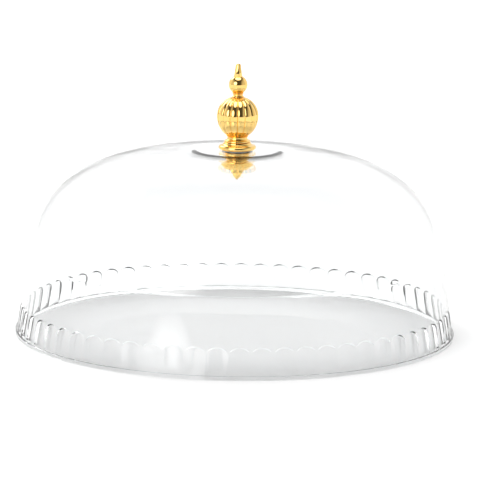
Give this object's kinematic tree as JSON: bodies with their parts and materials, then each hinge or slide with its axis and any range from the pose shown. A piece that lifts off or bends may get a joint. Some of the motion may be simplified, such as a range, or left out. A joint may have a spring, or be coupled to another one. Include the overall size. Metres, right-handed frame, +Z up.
{
  "type": "cake stand dome",
  "caption": "Clear domed lid for a cake stand, with a flared, fluted skirt, a rim bead, and a turned gold finial knob bolted through the crown.",
  "frame": {"origin": "centre of the rim's underside, on the surface that the dome rests on", "axes": "+Z up along the dome's axis, through the finial; the dome is round, so +X and +Y are any two directions along the rim"},
  "size_m": [0.3, 0.3, 0.1851],
  "materials": {
    "clear_acrylic": "clear, polished, moulded acrylic",
    "plated_gold": "bright polished gold plating",
    "clear_silicone": "clear silicone",
    "bush_nylon": "natural nylon",
    "rod_steel": "zinc-plated steel"
  },
  "bodies": {
    "dome": {"dome_shell": "clear_acrylic", "upper_gasket": "clear_silicone"},
    "knob": {"stud": "rod_steel", "hole_bush": "bush_nylon", "base_flange": "plated_gold", "collar_ring": "plated_gold", "melon_ball": "plated_gold", "neck_bobbin": "plated_gold", "bead_ball": "plated_gold", "spire": "plated_gold"},
    "cup": {"lower_gasket": "clear_silicone", "lower_collar": "plated_gold", "lower_cup": "plated_gold", "spring_washer": "rod_steel"},
    "nut": {"cap_nut": "plated_gold"}
  },
  "joints": [
    {"name": "knob_turn", "type": "hinge", "parent": "dome", "child": "knob", "pos_m": [0, 0, 0.1265], "axis": [0, 0, 1], "continuous": true},
    {"name": "cup_drop", "type": "slide", "parent": "knob", "child": "cup", "axis": [0, 0, -1], "range_m": [0, 0.0028]},
    {"name": "nut_turn", "type": "hinge", "parent": "cup", "child": "nut", "pos_m": [0, 0, 0.11], "axis": [0, 0, -1], "range_deg": [0, 1441]}
  ],
  "couplings": [
    {"joint": "nut_turn", "follows": "cup_drop", "rad_per_m": 8976}
  ]
}
